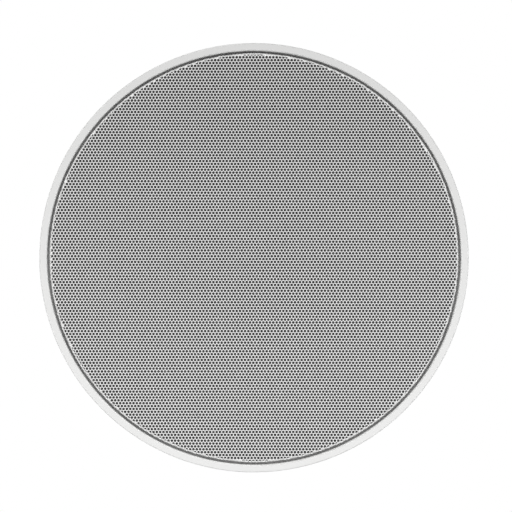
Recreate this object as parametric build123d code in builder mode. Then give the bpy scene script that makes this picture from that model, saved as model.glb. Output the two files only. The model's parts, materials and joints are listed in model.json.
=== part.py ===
from build123d import *
import math
import os

# Round two-way in-ceiling loudspeaker, placed as it hangs in a ceiling: the grille faces down (-Z),
# the magnet points up into the ceiling void. Lengths are millimetres. The origin is on the axis, in
# the plane where the back of the flange meets the ceiling.

# Mounting frame
flange_diameter = 240.0
flange_depth = 7.0
bezel_width = 4.2
bezel_edge_radius = 0.6
flange_back_radius = 0.5
ledge_thickness = 2.6
skirt_diameter = 209.0
skirt_wall = 2.5
baffle_height = 8.0
baffle_thickness = 3.0
rib_height = 4.0
rib_end_height = 1.5
rib_thickness = 1.8
rib_ring_gap = 2.0
rib_angles = (-22.5, 0.0, 22.5)

# Grille and the cloth behind it
grille_gap = 1.4
grille_recess = 0.4
sheet_thickness = 0.8
grille_corner_radius = 1.2
hole_pitch = 1.86
hole_diameter = 1.3
holes_merged = 6
plain_rim = 1.0
scrim_thickness = 0.4
lip_clearance = 0.3
lip_width = 1.8
lip_height = 2.0
magnet_strip_height = 1.6
magnet_strip_clearance = 0.05

# Clamps
clamp_count = 4
clamp_start_angle = 45.0
screw_circle_radius = 96.0
screw_diameter = 4.0
screw_head_diameter = 8.0
screw_head_height = 2.6
screw_head_radius = 1.3
screw_tip_length = 3.0
screw_tip_chamfer = 0.6
screw_clearance = 0.25
driver_slot_width = 1.2
driver_slot_length = 5.0
driver_slot_depth = 1.6
bush_wall = 1.4
bush_flange_width = 1.3
bush_flange_thickness = 1.2
bush_length = 10.0
running_clearance = 0.05
dog_hub_radius = 5.5
dog_tip_radius = 4.0
dog_reach = 21.0
dog_height = 12.0
dog_tip_height = 4.5
dog_pad_length = 7.0
dog_relief = 1.5
swing_clearance = 0.3
tower_wall = 3.0
tower_height = 40.0
tower_back_reach = 17.0
tower_back_corner = 8.0
tower_side_reach = 7.0
tower_side_corner = 3.0
tower_cap_thickness = 3.0
tower_cap_reach = 5.0
gusset_depth = 7.0
gusset_height = 26.0

# Woofer
basket_flange_radius = 83.0
basket_wall_radius = 71.5
basket_thickness = 1.5
basket_bend_radius = 3.0
basket_step_height = 8.0
basket_shelf_radius = 48.0
basket_shelf_height = 32.0
basket_neck_radius = 41.0
basket_neck_height = 12.5
basket_floor_opening = 22.0
basket_window_count = 10
basket_window_width = 20.0
basket_window_length = 14.0
basket_window_corner = 3.0
baffle_opening_clearance = 0.5
woofer_screw_count = 6
woofer_screw_start = 30.0
woofer_screw_inset = 3.7
woofer_screw_diameter = 3.5
woofer_screw_head_diameter = 6.6
woofer_screw_head_height = 2.2
woofer_screw_head_radius = 1.1
woofer_slot_depth = 1.1
woofer_screw_boss_wall = 2.0
woofer_screw_boss_height = 6.0
thread_clearance = 0.05
gasket_width = 4.6
gasket_thickness = 2.0
surround_thickness = 0.5
surround_land = 5.0
surround_roll_radius = 4.0
surround_roll_gap = 0.3
cone_rim_width = 4.0
cone_thickness = 0.7
cone_depth = 24.5
cone_bow = 3.0
cone_travel = 4.0
glue_gap = 0.05
coil_radius = 12.9
former_thickness = 0.4
former_overlap = 2.0
winding_thickness = 0.7
magnetic_gap_clearance = 0.5
spider_thickness = 0.4
spider_corrugations = 5
spider_wave = 1.2
spider_bend_radius = 0.9
spider_land = 5.0
top_plate_radius = 38.0
top_plate_thickness = 6.0
magnet_radius = 42.5
magnet_bore_radius = 20.0
magnet_thickness = 16.0
magnet_chamfer = 0.8
yoke_thickness = 6.0
pole_recess = 1.0
plate_chamfer = 1.5

# Tweeter on its post
post_radius = 4.0
post_fit = 0.1
post_shoulder_radius = 7.0
post_shoulder_length = 6.0
post_thread_length = 6.0
post_flange_radius = 9.0
post_flange_thickness = 2.0
post_nut_across = 12.0
post_nut_height = 4.0
tweeter_housing_radius = 16.0
tweeter_housing_wall = 1.5
tweeter_depth = 13.5
tweeter_front = 3.8
face_ring_radius = 18.0
face_ring_thickness = 2.6
face_ring_land = 1.4
face_ring_flare = 0.5
dome_radius = 9.4
dome_height = 2.6
dome_thickness = 0.4
dome_roll_radius = 1.3
tweeter_yoke_radius = 11.0
tweeter_yoke_wall = 1.2
tweeter_yoke_floor = 1.5
tweeter_magnet_radius = 7.5
tweeter_magnet_thickness = 3.5
tweeter_pole_thickness = 2.0
tweeter_gap = 0.35
tweeter_former_thickness = 0.3

# Crossover and terminals
board_angle = -90.0
board_thickness = 1.6
board_face_radius = 84.0
board_foot = 5.0
board_slot_clearance = 0.1
board_post_width = 7.0
board_post_depth = 8.0
board_post_height = 8.0
board_post_overlap = 4.5
component_gap = 0.1
component_spacing = 1.0
component_margin = 2.5
bobbin_radius = 12.0
bobbin_core_radius = 5.0
bobbin_bore_radius = 2.5
bobbin_length = 14.0
bobbin_flange = 1.2
winding_margin = 1.4
capacitor_diameter = 12.0
capacitor_length = 25.0
capacitor_edge_radius = 1.2
resistor_width = 7.0
resistor_depth = 6.5
resistor_length = 22.0
resistor_chamfer = 0.7
terminal_wall = 1.5
terminal_floor = 2.0
terminal_lid = 2.0
terminal_middle_wall = 3.0
terminal_corner = 0.8
terminal_board_overlap = 7.0
button_width = 9.0
button_depth = 6.0
button_rise = 4.0
button_travel = 2.5
button_clearance = 0.3
button_rest_gap = 0.1
button_flange = 0.8
button_flange_thickness = 1.2
button_edge_radius = 0.8
wire_hole_diameter = 3.6
spring_strip = 0.4
spring_strip_width = 5.0
spring_room = 1.5
spring_gap = 0.1

# Values worked out from the sizes above
flange_radius = flange_diameter / 2
bezel_inner_radius = flange_radius - bezel_width
grille_radius = bezel_inner_radius - grille_gap
grille_face = -flange_depth + grille_recess
skirt_radius = skirt_diameter / 2
skirt_inner_radius = skirt_radius - skirt_wall
baffle_top = baffle_height + baffle_thickness
baffle_opening_radius = basket_wall_radius + basket_bend_radius + baffle_opening_clearance
lip_radius = grille_radius - sheet_thickness - lip_clearance
magnet_strip_back = magnet_strip_height - ledge_thickness
screw_radius = screw_diameter / 2
tower_top = baffle_top + tower_height
tower_stop = dog_hub_radius + swing_clearance
tower_wall_height = tower_height + tower_cap_thickness
dog_rest = tower_top - swing_clearance - dog_height
bush_radius = screw_radius + running_clearance + bush_wall
woofer_front = baffle_height - basket_thickness
woofer_screw_circle = basket_flange_radius - woofer_screw_inset
woofer_boss_radius = woofer_screw_diameter / 2 + woofer_screw_boss_wall
rib_ring_radius = woofer_screw_circle + woofer_boss_radius + rib_ring_gap
rib_run = skirt_radius - skirt_wall / 2 - rib_ring_radius
shelf_z = baffle_height + basket_shelf_height
floor_z = shelf_z + basket_neck_height
magnet_z = floor_z + top_plate_thickness
yoke_z = magnet_z + magnet_thickness
yoke_top = yoke_z + yoke_thickness
pole_z = floor_z - pole_recess
gap_centre = floor_z + top_plate_thickness / 2
former_radius = coil_radius + former_thickness
winding_radius = former_radius + winding_thickness
winding_height = top_plate_thickness + 2 * cone_travel
pole_radius = coil_radius - magnetic_gap_clearance
gap_radius = winding_radius + magnetic_gap_clearance
roll_outer = basket_wall_radius - basket_thickness - surround_roll_gap
roll_centre = roll_outer - surround_roll_radius
cone_edge = roll_centre - surround_roll_radius
cone_z = woofer_front
neck_z = cone_z + cone_depth
tweeter_back = -tweeter_front + tweeter_depth
board_z = baffle_top + board_foot
component_face = board_face_radius + component_gap
component_z = board_z + component_margin
component_top = component_z + max(2 * bobbin_radius, capacitor_length, resistor_length)
row_width = 2 * bobbin_radius + capacitor_diameter + resistor_width + 4 * component_spacing
board_width = row_width + 2 * board_post_overlap
bobbin_y = component_spacing + bobbin_radius - row_width / 2
capacitor_y = bobbin_y + bobbin_radius + component_spacing + capacitor_diameter / 2
resistor_y = row_width / 2 - component_spacing - resistor_width / 2
cavity_width = button_width + 2 * (button_flange + button_clearance)
cavity_depth = button_depth + 2 * (button_flange + button_clearance)
cavity_height = spring_room + button_travel + button_flange_thickness + button_rest_gap
terminal_spacing = cavity_width + terminal_middle_wall
terminal_width = terminal_spacing + cavity_width + 2 * terminal_wall
terminal_height = terminal_floor + cavity_height + terminal_lid
terminal_z = component_top + component_spacing
terminal_sides = (-terminal_spacing / 2, terminal_spacing / 2)
button_x = terminal_wall + cavity_depth / 2
wire_hole_x = terminal_wall + cavity_depth + terminal_wall + wire_hole_diameter / 2
terminal_depth = wire_hole_x + wire_hole_diameter / 2 + terminal_wall
board_height = terminal_z + terminal_board_overlap - board_z

os.makedirs("parts", exist_ok=True)


def keep(piece, name):
    """Labels a finished piece and writes it to a file of its own."""
    piece.part.label = name
    export_step(piece.part, f"parts/{name}.step")


def clamp_plane(number, height):
    """Level plane on a clamp screw's axis, with x pointing away from the speaker's axis."""
    angle = math.radians(clamp_start_angle + number * 360 / clamp_count)
    outward = Vector(math.cos(angle), math.sin(angle), 0)
    origin = outward * screw_circle_radius + Vector(0, 0, height)
    return Plane(origin=origin, x_dir=outward, z_dir=(0, 0, 1))


def board_plane(radius, across, height):
    """Upright plane facing outwards at the crossover board: x runs sideways, y up, z outwards."""
    angle = math.radians(board_angle)
    outward = Vector(math.cos(angle), math.sin(angle), 0)
    sideways = Vector(-math.sin(angle), math.cos(angle), 0)
    origin = outward * radius + sideways * across + Vector(0, 0, height)
    return Plane(origin=origin, x_dir=sideways, z_dir=outward)


def terminal_plane(height):
    """Level plane at the terminal block: x points outwards from the board's face, y sideways."""
    angle = math.radians(board_angle)
    outward = Vector(math.cos(angle), math.sin(angle), 0)
    origin = outward * component_face + Vector(0, 0, height)
    return Plane(origin=origin, x_dir=outward, z_dir=(0, 0, 1))


# Mounting frame below the ceiling: the flange with its bezel, grille ledge, lip and magnet groove
with BuildPart() as bezel_frame:
    with BuildSketch(Plane.XZ):
        with BuildLine():
            Polyline(
                (skirt_radius, 0),
                (skirt_inner_radius, -ledge_thickness),
                (lip_radius - lip_width, -ledge_thickness),
                (lip_radius - lip_width, -ledge_thickness - lip_height),
                (lip_radius, -ledge_thickness - lip_height),
                (lip_radius, magnet_strip_back),
                (bezel_inner_radius, magnet_strip_back),
                (bezel_inner_radius, -flange_depth),
                (flange_radius, -flange_depth),
                (flange_radius, 0),
                close=True,
            )
        make_face()
        fillet(vertices().group_by(Axis.Y)[0], bezel_edge_radius)
        fillet(vertices().group_by(Axis.X)[-1].sort_by(Axis.Y)[-1], flange_back_radius)
    revolve(axis=Axis.Z)
keep(bezel_frame, "bezel_frame")

# Mounting frame in the ceiling, the same moulding from the flange's slanted inner edge on: skirt,
# baffle, ribs and clamp towers
with BuildPart() as mounting_can:
    with BuildSketch(Plane.XZ):
        with BuildLine():
            Polyline(
                (baffle_opening_radius, baffle_height),
                (skirt_inner_radius, baffle_height),
                (skirt_inner_radius, -ledge_thickness),
                (skirt_radius, 0),
                (skirt_radius, baffle_top),
                (baffle_opening_radius, baffle_top),
                close=True,
            )
        make_face()
    revolve(axis=Axis.Z)
    # Ring rib around the woofer, and radial ribs that slope down from it to the skirt
    with BuildSketch(Plane.XY.offset(baffle_top)):
        Circle(rib_ring_radius + rib_thickness)
        Circle(rib_ring_radius, mode=Mode.SUBTRACT)
    extrude(amount=rib_height)
    for quarter in range(clamp_count):
        for rib_angle in rib_angles:
            with BuildSketch(Plane.XZ.rotated((0, 0, rib_angle + quarter * 360 / clamp_count))):
                with Locations((rib_ring_radius, baffle_top)):
                    Polygon(
                        (0, 0),
                        (rib_run, 0),
                        (rib_run, rib_end_height),
                        (rib_thickness, rib_height),
                        (0, rib_height),
                        align=None,
                    )
            extrude(amount=rib_thickness / 2, both=True)
    with BuildSketch(Plane.XY.offset(baffle_top)):
        with PolarLocations(woofer_screw_circle, woofer_screw_count, start_angle=woofer_screw_start):
            Circle(woofer_boss_radius)
    extrude(amount=woofer_screw_boss_height)
    # Clamp towers: an L of two walls that stop the dog's swing, with a gusset behind
    for clamp_number in range(clamp_count):
        tower_base = clamp_plane(clamp_number, baffle_top)
        back_origin = tower_base.origin - tower_base.x_dir * (tower_stop + tower_wall)
        with BuildSketch(Plane(origin=back_origin, x_dir=tower_base.y_dir, z_dir=tower_base.x_dir)):
            with Locations((-tower_back_reach, 0)):
                Rectangle(tower_back_reach + tower_stop + tower_wall, tower_wall_height, align=Align.MIN)
            fillet(vertices().group_by(Axis.X)[0].sort_by(Axis.Y)[-1], tower_back_corner)
        extrude(amount=tower_wall)
        side_origin = tower_base.origin + tower_base.y_dir * (tower_stop + tower_wall)
        with BuildSketch(Plane(origin=side_origin, x_dir=tower_base.x_dir, z_dir=-tower_base.y_dir)):
            with Locations((-tower_stop - tower_wall, 0)):
                Rectangle(tower_side_reach + tower_stop + tower_wall, tower_wall_height, align=Align.MIN)
            fillet(vertices().group_by(Axis.X)[-1].sort_by(Axis.Y)[-1], tower_side_corner)
        extrude(amount=tower_wall)
        with BuildSketch(Plane(origin=back_origin, x_dir=-tower_base.x_dir, z_dir=tower_base.y_dir)):
            Polygon((0, 0), (gusset_depth, 0), (0, gusset_height), align=None)
        extrude(amount=rib_thickness / 2, both=True)
    # A cap on each tower steadies the screw
    with BuildSketch(Plane.XY.offset(tower_top)):
        with PolarLocations(screw_circle_radius, clamp_count, start_angle=clamp_start_angle):
            with Locations((-tower_stop, -tower_cap_reach)):
                Rectangle(tower_stop + tower_cap_reach, tower_cap_reach + tower_stop, align=Align.MIN)
    extrude(amount=tower_cap_thickness)
    with PolarLocations(screw_circle_radius, clamp_count, start_angle=clamp_start_angle):
        Hole(screw_radius + screw_clearance)
    with PolarLocations(woofer_screw_circle, woofer_screw_count, start_angle=woofer_screw_start):
        Hole(woofer_screw_diameter / 2 + thread_clearance)
    # Two slotted posts that hold the crossover board's lower corners
    post_y = row_width / 2 + board_post_width / 2
    with BuildSketch(Plane.XY.offset(baffle_top)):
        with PolarLocations(board_face_radius - board_thickness / 2, 1, start_angle=board_angle):
            with Locations((0, -post_y), (0, post_y)):
                Rectangle(board_post_depth, board_post_width)
    extrude(amount=board_foot + board_post_height)
    with BuildSketch(Plane.XY.offset(board_z)):
        with PolarLocations(board_face_radius - board_thickness / 2, 1, start_angle=board_angle):
            Rectangle(
                board_thickness + 2 * board_slot_clearance, board_width + 2 * board_slot_clearance
            )
    extrude(amount=board_post_height, mode=Mode.SUBTRACT)
keep(mounting_can, "mounting_can")

# Grille: a flat perforated disc with its edge turned back through a round corner
field_radius = grille_radius - grille_corner_radius - plain_rim
merged_pitch = hole_pitch * holes_merged
merged_flats = hole_diameter * holes_merged * math.sqrt(math.pi / (2 * math.sqrt(3)))
row_height = merged_pitch * math.sqrt(3) / 2
half_rows = int(field_radius / row_height) + 1
half_columns = int(field_radius / merged_pitch) + 1
lattice = [
    ((column + 0.5 * (row % 2)) * merged_pitch, row * row_height)
    for row in range(-half_rows, half_rows + 1)
    for column in range(-half_columns, half_columns + 1)
]
hole_corner = merged_flats / math.sqrt(3)
hole_points = [p for p in lattice if math.hypot(*p) + hole_corner < field_radius]
with BuildPart() as grille:
    with BuildSketch(Plane.XZ):
        with BuildLine():
            Polyline(
                (0, grille_face),
                (grille_radius, grille_face),
                (grille_radius, -ledge_thickness),
                (grille_radius - sheet_thickness, -ledge_thickness),
                (grille_radius - sheet_thickness, grille_face + sheet_thickness),
                (0, grille_face + sheet_thickness),
                close=True,
            )
        make_face()
        outer_corner = vertices().group_by(Axis.Y)[0].sort_by(Axis.X)[-1]
        inner_corner = vertices().group_by(Axis.Y)[1].sort_by(Axis.X)[-1]
        fillet(outer_corner, grille_corner_radius)
        fillet(inner_corner, grille_corner_radius - sheet_thickness)
    revolve(axis=Axis.Z)
    with BuildSketch(Plane.XY.offset(grille_face)):
        with Locations(*hole_points):
            RegularPolygon(merged_flats / 2, 6, major_radius=False, rotation=30)
    extrude(amount=sheet_thickness, mode=Mode.SUBTRACT)
keep(grille, "grille")

# Cloth disc bonded to the inside of the grille
with BuildPart() as grille_scrim:
    with BuildSketch(Plane.XY.offset(grille_face + sheet_thickness)):
        Circle(lip_radius)
    extrude(amount=scrim_thickness)
keep(grille_scrim, "grille_scrim")

# Magnetic strip in the groove, on which the grille's rim stands
with BuildPart() as magnet_strip:
    with BuildSketch(Plane.XY.offset(-ledge_thickness)):
        Circle(bezel_inner_radius - magnet_strip_clearance)
        Circle(lip_radius + magnet_strip_clearance, mode=Mode.SUBTRACT)
    extrude(amount=magnet_strip_height)
keep(magnet_strip, "magnet_strip")

# Clamps: screw, threaded bush and swinging dog at each tower, drawn stowed at the top of the screw
for clamp_number in range(clamp_count):
    screw_length = tower_top + tower_cap_thickness + screw_tip_length - baffle_height
    with BuildPart() as clamp_screw:
        with BuildSketch(clamp_plane(clamp_number, baffle_height)):
            Circle(screw_radius)
        extrude(amount=screw_length)
        chamfer(edges().group_by(Axis.Z)[-1], screw_tip_chamfer)
        with BuildSketch(clamp_plane(clamp_number, baffle_height)):
            Circle(screw_head_diameter / 2)
        extrude(amount=-screw_head_height)
        fillet(edges().group_by(Axis.Z)[0], screw_head_radius)
        with BuildSketch(clamp_plane(clamp_number, baffle_height - screw_head_height)):
            Rectangle(driver_slot_length, driver_slot_width)
            Rectangle(driver_slot_width, driver_slot_length)
        extrude(amount=driver_slot_depth, mode=Mode.SUBTRACT)
    keep(clamp_screw, f"clamp_screw_{clamp_number + 1}")

    with BuildPart() as clamp_bush:
        with BuildSketch(clamp_plane(clamp_number, dog_rest - bush_flange_thickness)):
            Circle(bush_radius + bush_flange_width)
        extrude(amount=bush_flange_thickness)
        with BuildSketch(clamp_plane(clamp_number, dog_rest)):
            Circle(bush_radius)
        extrude(amount=bush_length)
        with BuildSketch(clamp_plane(clamp_number, dog_rest - bush_flange_thickness)):
            Circle(screw_radius + running_clearance)
        extrude(amount=bush_flange_thickness + bush_length, mode=Mode.SUBTRACT)
    keep(clamp_bush, f"clamp_bush_{clamp_number + 1}")

    dog_base = clamp_plane(clamp_number, dog_rest)
    dog_side = Plane(origin=dog_base.origin, x_dir=-dog_base.y_dir, z_dir=-dog_base.x_dir)
    with BuildPart() as clamp_dog:
        with BuildSketch(dog_base):
            Circle(dog_hub_radius)
            with Locations((0, dog_tip_radius - dog_reach)):
                Circle(dog_tip_radius)
            make_hull()
        extrude(amount=dog_height)
        # The arm slopes down to its tip and is relieved between hub and pad
        with BuildSketch(dog_side):
            with BuildLine():
                Polyline(
                    (dog_hub_radius, dog_height),
                    (dog_reach, dog_tip_height),
                    (dog_reach + dog_tip_radius, dog_tip_height),
                    (dog_reach + dog_tip_radius, dog_height),
                    close=True,
                )
            make_face()
            with Locations((dog_hub_radius, 0)):
                Rectangle(dog_reach - dog_pad_length - dog_hub_radius, dog_relief, align=Align.MIN)
        extrude(amount=dog_hub_radius, both=True, mode=Mode.SUBTRACT)
        with BuildSketch(dog_base):
            Circle(bush_radius + running_clearance)
        extrude(amount=dog_height, mode=Mode.SUBTRACT)
    keep(clamp_dog, f"clamp_dog_{clamp_number + 1}")

# Woofer basket: one pressed sheet with a flange, a windowed cone, a shelf for the spider and a floor
with BuildPart() as basket:
    with BuildSketch(Plane.XZ):
        with BuildLine():
            FilletPolyline(
                (basket_flange_radius, baffle_height),
                (basket_wall_radius, baffle_height),
                (basket_wall_radius, baffle_height + basket_step_height),
                (basket_shelf_radius, shelf_z),
                (basket_neck_radius, shelf_z),
                (basket_neck_radius, floor_z),
                (basket_floor_opening, floor_z),
                radius=basket_bend_radius,
            )
            offset(amount=basket_thickness, side=Side.LEFT, closed=True)
        make_face()
    revolve(axis=Axis.Z)
    window_circle = (basket_wall_radius + basket_shelf_radius) / 2
    with BuildSketch(Plane.XY.offset(baffle_top)):
        with PolarLocations(window_circle, basket_window_count):
            RectangleRounded(basket_window_length, basket_window_width, basket_window_corner)
    extrude(amount=shelf_z - baffle_top, mode=Mode.SUBTRACT)
    with PolarLocations(woofer_screw_circle, woofer_screw_count, start_angle=woofer_screw_start):
        Hole(woofer_screw_diameter / 2 + screw_clearance)
keep(basket, "basket")

# Rubber surround: flat outer land, half roll towards the front, flat inner land on the cone's rim
land_front = woofer_front - surround_thickness
with BuildPart() as surround:
    with BuildSketch(Plane.XZ):
        with Locations((roll_centre, woofer_front)):
            Circle(surround_roll_radius)
            Circle(surround_roll_radius - surround_thickness, mode=Mode.SUBTRACT)
            Rectangle(
                2 * surround_roll_radius,
                surround_roll_radius,
                align=(Align.CENTER, Align.MIN),
                mode=Mode.SUBTRACT,
            )
        with Locations((roll_outer - surround_thickness, land_front)):
            outer_land = surround_land + surround_roll_gap + surround_thickness
            Rectangle(outer_land, surround_thickness, align=Align.MIN)
        with Locations((cone_edge - cone_rim_width, land_front)):
            Rectangle(cone_rim_width + surround_thickness, surround_thickness, align=Align.MIN)
    revolve(axis=Axis.Z)
keep(surround, "surround")

# Foam gasket ring over the surround's outer land
with BuildPart() as woofer_gasket:
    with BuildSketch(Plane.XY.offset(land_front)):
        Circle(roll_outer + surround_roll_gap + gasket_width)
        Circle(roll_outer + surround_roll_gap, mode=Mode.SUBTRACT)
    extrude(amount=-gasket_thickness)
keep(woofer_gasket, "woofer_gasket")

# Cone: flat rim under the surround's inner land, then a bowed wall down to the neck
neck_radius = former_radius + glue_gap
rim_inner = cone_edge - cone_rim_width
rim_front = cone_z + glue_gap
with BuildPart() as cone:
    with BuildSketch(Plane.XZ):
        with BuildLine():
            front = SagittaArc((rim_inner, rim_front), (neck_radius, neck_z), -cone_bow)
            Line(front @ 1, (neck_radius, neck_z + cone_thickness))
            rim_back = rim_front + cone_thickness
            SagittaArc((neck_radius, neck_z + cone_thickness), (rim_inner, rim_back), cone_bow)
            Polyline((rim_inner, rim_back), (cone_edge, rim_back), (cone_edge, rim_front), front @ 0)
        make_face()
    revolve(axis=Axis.Z)
keep(cone, "cone")

# Voice coil: a tube that the cone's neck and the spider are glued to, and its winding in the gap
winding_start = gap_centre - winding_height / 2
with BuildPart() as voice_coil_former:
    with BuildSketch(Plane.XY.offset(neck_z - former_overlap)):
        Circle(former_radius)
        Circle(coil_radius, mode=Mode.SUBTRACT)
    extrude(amount=winding_start + winding_height - neck_z + former_overlap)
keep(voice_coil_former, "voice_coil_former")

with BuildPart() as voice_coil:
    with BuildSketch(Plane.XY.offset(winding_start)):
        Circle(winding_radius)
        Circle(former_radius, mode=Mode.SUBTRACT)
    extrude(amount=winding_height)
keep(voice_coil, "voice_coil")

# Spider: corrugated cloth disc from the former to the basket's shelf
spider_z = shelf_z - basket_thickness - spider_thickness
spider_outer = basket_neck_radius - basket_thickness + spider_land
wave_start = former_radius + glue_gap + spider_land
wave_step = (basket_neck_radius - basket_thickness - wave_start) / (2 * spider_corrugations)
spider_path = [(spider_outer, spider_z + spider_thickness)]
for half_wave in range(2 * spider_corrugations + 1):
    wave_radius = basket_neck_radius - basket_thickness - half_wave * wave_step
    wave_drop = 2 * spider_wave * (half_wave % 2)
    spider_path.append((wave_radius, spider_z + spider_thickness - wave_drop))
spider_path.append((former_radius + glue_gap, spider_z + spider_thickness))
with BuildPart() as spider:
    with BuildSketch(Plane.XZ):
        with BuildLine():
            FilletPolyline(*spider_path, radius=spider_bend_radius)
            offset(amount=spider_thickness, side=Side.LEFT, closed=True)
        make_face()
    revolve(axis=Axis.Z)
keep(spider, "spider")

# Magnet system: top plate on the basket's floor, ferrite ring, back plate with its pole
with BuildPart() as top_plate:
    with BuildSketch(Plane.XY.offset(floor_z)):
        Circle(top_plate_radius)
        Circle(gap_radius, mode=Mode.SUBTRACT)
    extrude(amount=top_plate_thickness)
keep(top_plate, "top_plate")

with BuildPart() as woofer_magnet:
    with BuildSketch(Plane.XY.offset(magnet_z)):
        Circle(magnet_radius)
        Circle(magnet_bore_radius, mode=Mode.SUBTRACT)
    extrude(amount=magnet_thickness)
    chamfer(edges().filter_by(GeomType.CIRCLE).group_by(SortBy.RADIUS)[-1], magnet_chamfer)
keep(woofer_magnet, "woofer_magnet")

with BuildPart() as pole_yoke:
    with BuildSketch(Plane.XY.offset(yoke_z)):
        Circle(top_plate_radius)
    extrude(amount=yoke_thickness)
    chamfer(edges().group_by(Axis.Z)[-1], plate_chamfer)
    with BuildSketch(Plane.XY.offset(pole_z)):
        Circle(pole_radius)
    extrude(amount=yoke_z - pole_z)
    Hole(post_radius + post_fit)
keep(pole_yoke, "pole_yoke")

# Screws that hold the basket to the baffle
with BuildPart() as woofer_screws:
    with BuildSketch(Plane.XY.offset(woofer_front)):
        with PolarLocations(woofer_screw_circle, woofer_screw_count, start_angle=woofer_screw_start):
            Circle(woofer_screw_head_diameter / 2)
    extrude(amount=-woofer_screw_head_height)
    fillet(edges().group_by(Axis.Z)[0], woofer_screw_head_radius)
    with BuildSketch(Plane.XY.offset(woofer_front - woofer_screw_head_height)):
        with PolarLocations(woofer_screw_circle, woofer_screw_count, start_angle=woofer_screw_start):
            Rectangle(driver_slot_length, driver_slot_width)
            Rectangle(driver_slot_width, driver_slot_length)
    extrude(amount=woofer_slot_depth, mode=Mode.SUBTRACT)
    with BuildSketch(Plane.XY.offset(woofer_front)):
        with PolarLocations(woofer_screw_circle, woofer_screw_count, start_angle=woofer_screw_start):
            Circle(woofer_screw_diameter / 2)
    extrude(amount=basket_thickness + baffle_thickness + woofer_screw_boss_height)
keep(woofer_screws, "woofer_screws")

# Post through the pole: thread and nut at the back, shoulder on the pole, flange under the tweeter
with BuildPart() as tweeter_post:
    with BuildSketch(Plane.XZ):
        with BuildLine():
            Polyline(
                (0, tweeter_back),
                (post_flange_radius, tweeter_back),
                (post_flange_radius, tweeter_back + post_flange_thickness),
                (post_radius, tweeter_back + post_flange_thickness),
                (post_radius, pole_z - post_shoulder_length),
                (post_shoulder_radius, pole_z - post_shoulder_length),
                (post_shoulder_radius, pole_z),
                (post_radius, pole_z),
                (post_radius, yoke_top + post_thread_length),
                (0, yoke_top + post_thread_length),
                close=True,
            )
        make_face()
    revolve(axis=Axis.Z)
keep(tweeter_post, "tweeter_post")

with BuildPart() as post_nut:
    with BuildSketch(Plane.XY.offset(yoke_top)):
        RegularPolygon(post_nut_across / 2, 6, major_radius=False)
        Circle(post_radius + thread_clearance, mode=Mode.SUBTRACT)
    extrude(amount=post_nut_height)
keep(post_nut, "post_nut")

# Tweeter: cup, magnet system, coil, dome and face ring, from the back to the front
ring_back = -tweeter_front + face_ring_thickness
cup_inner_radius = tweeter_housing_radius - tweeter_housing_wall
cup_floor = tweeter_back - tweeter_housing_wall
with BuildPart() as tweeter_housing:
    with BuildSketch(Plane.XY.offset(ring_back)):
        Circle(tweeter_housing_radius)
    extrude(amount=tweeter_back - ring_back)
    fillet(edges().group_by(Axis.Z)[-1], tweeter_housing_wall)
    with BuildSketch(Plane.XY.offset(ring_back)):
        Circle(cup_inner_radius)
    extrude(amount=cup_floor - ring_back, mode=Mode.SUBTRACT)
keep(tweeter_housing, "tweeter_housing")

yoke_inner = tweeter_yoke_radius - tweeter_yoke_wall
pole_back = cup_floor - tweeter_yoke_floor - tweeter_magnet_thickness
pole_front = pole_back - tweeter_pole_thickness
with BuildPart() as tweeter_yoke:
    with BuildSketch(Plane.XY.offset(pole_front)):
        Circle(tweeter_yoke_radius)
    extrude(amount=cup_floor - pole_front)
    with BuildSketch(Plane.XY.offset(pole_front)):
        Circle(yoke_inner)
    extrude(amount=cup_floor - tweeter_yoke_floor - pole_front, mode=Mode.SUBTRACT)
keep(tweeter_yoke, "tweeter_yoke")

with BuildPart() as tweeter_magnet:
    with BuildSketch(Plane.XY.offset(pole_back)):
        Circle(tweeter_magnet_radius)
    extrude(amount=tweeter_magnet_thickness)
keep(tweeter_magnet, "tweeter_magnet")

tweeter_coil_inner = (yoke_inner + tweeter_magnet_radius) / 2
with BuildPart() as tweeter_pole_plate:
    with BuildSketch(Plane.XY.offset(pole_front)):
        Circle(tweeter_coil_inner - tweeter_gap)
    extrude(amount=tweeter_pole_thickness)
keep(tweeter_pole_plate, "tweeter_pole_plate")

# The dome's edge, its small roll and its flat land lie in one plane behind the face ring
dome_edge = ring_back
roll_outer_radius = dome_roll_radius + dome_thickness
dome_land_start = dome_radius + 2 * dome_roll_radius
with BuildPart() as tweeter_coil:
    with BuildSketch(Plane.XY.offset(dome_edge + dome_thickness)):
        Circle(tweeter_coil_inner + tweeter_former_thickness)
        Circle(tweeter_coil_inner, mode=Mode.SUBTRACT)
    extrude(amount=pole_back - dome_edge - dome_thickness)
keep(tweeter_coil, "tweeter_coil")

with BuildPart() as tweeter_dome:
    with BuildSketch(Plane.XZ):
        with BuildLine():
            outer_cap = ThreePointArc(
                (-dome_radius, dome_edge), (0, dome_edge - dome_height), (dome_radius, dome_edge)
            )
            Line(outer_cap @ 1, (dome_radius, dome_edge + dome_thickness))
            inner_cap = ThreePointArc(
                (dome_radius, dome_edge + dome_thickness),
                (0, dome_edge - dome_height + dome_thickness),
                (-dome_radius, dome_edge + dome_thickness),
            )
            Line(inner_cap @ 1, outer_cap @ 0)
        make_face()
        with Locations((dome_radius + dome_roll_radius, dome_edge + dome_thickness)):
            Circle(roll_outer_radius)
            Circle(dome_roll_radius, mode=Mode.SUBTRACT)
            Rectangle(
                2 * roll_outer_radius,
                roll_outer_radius,
                align=(Align.CENTER, Align.MIN),
                mode=Mode.SUBTRACT,
            )
        with Locations((dome_land_start, dome_edge)):
            Rectangle(cup_inner_radius - dome_land_start - glue_gap, dome_thickness, align=Align.MIN)
        # Half of the section is enough for the turning
        Rectangle(dome_radius, 2 * tweeter_depth, align=(Align.MAX, Align.CENTER), mode=Mode.SUBTRACT)
    revolve(axis=Axis.Z)
keep(tweeter_dome, "tweeter_dome")

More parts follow.
